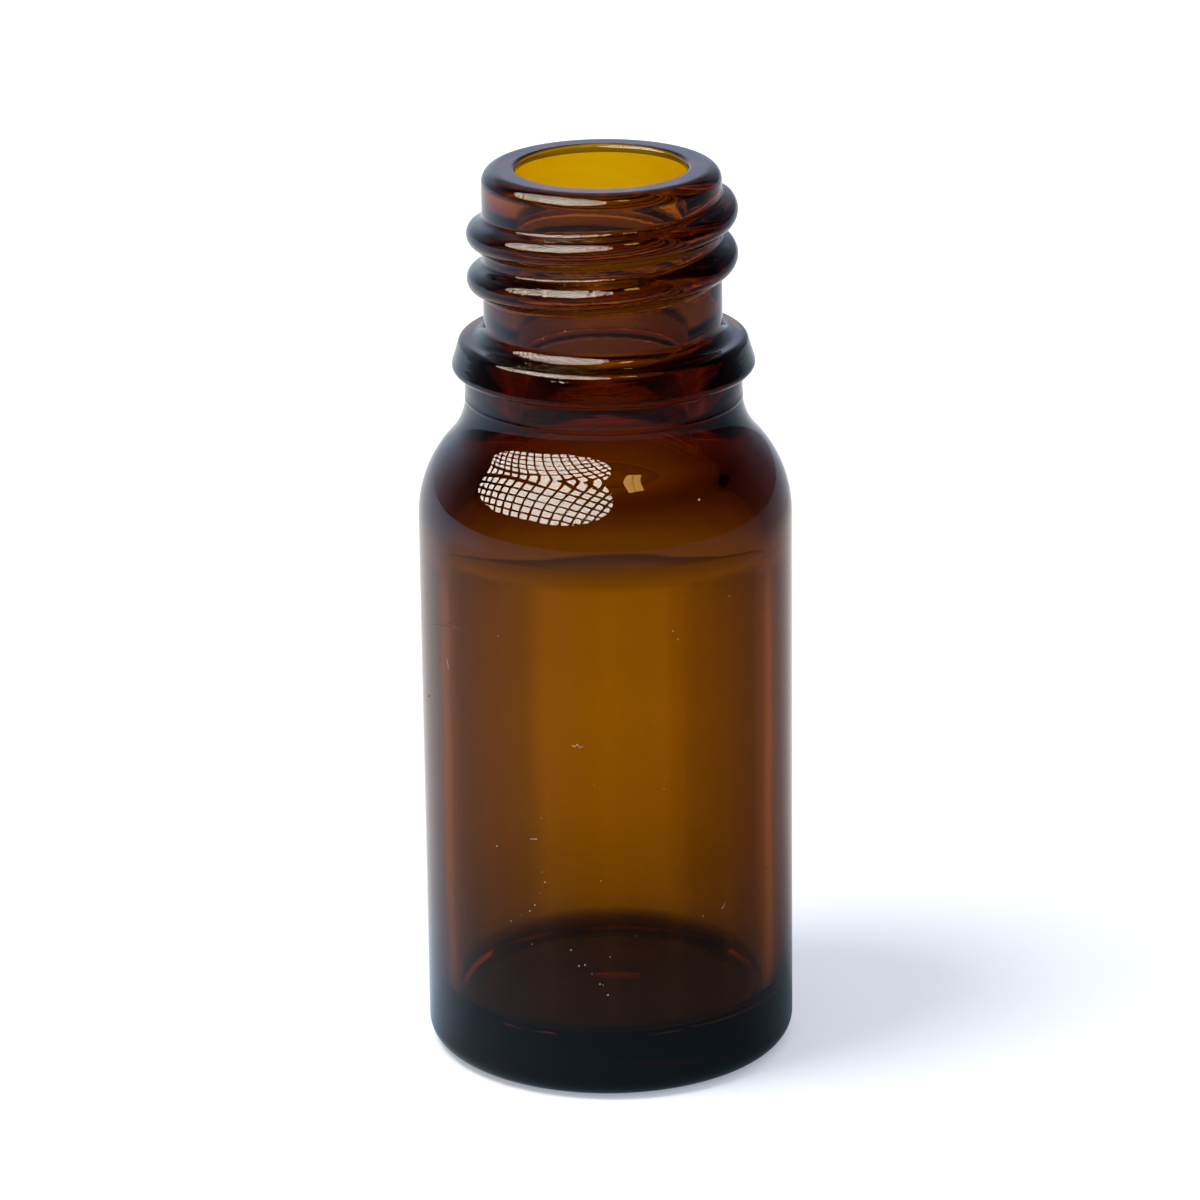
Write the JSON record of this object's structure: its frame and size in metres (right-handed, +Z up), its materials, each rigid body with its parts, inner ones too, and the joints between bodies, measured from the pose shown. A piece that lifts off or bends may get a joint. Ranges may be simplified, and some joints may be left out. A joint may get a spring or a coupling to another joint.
{
  "type": "glass bottle",
  "caption": "Small round amber glass bottle with a thick base, rounded shoulders, a transfer bead and an open threaded neck for a screw cap.",
  "frame": {"origin": "centre of the standing ring under the base", "axes": "+Z up along the bottle's axis, out of the mouth; -Y is the front that the picture shows"},
  "size_m": [0.0248, 0.0248, 0.0608],
  "materials": {
    "amber_glass": "fire-polished amber glass, clear through, with a few dust specks"
  },
  "bodies": {
    "root": {"bottle": "amber_glass"}
  },
  "joints": []
}
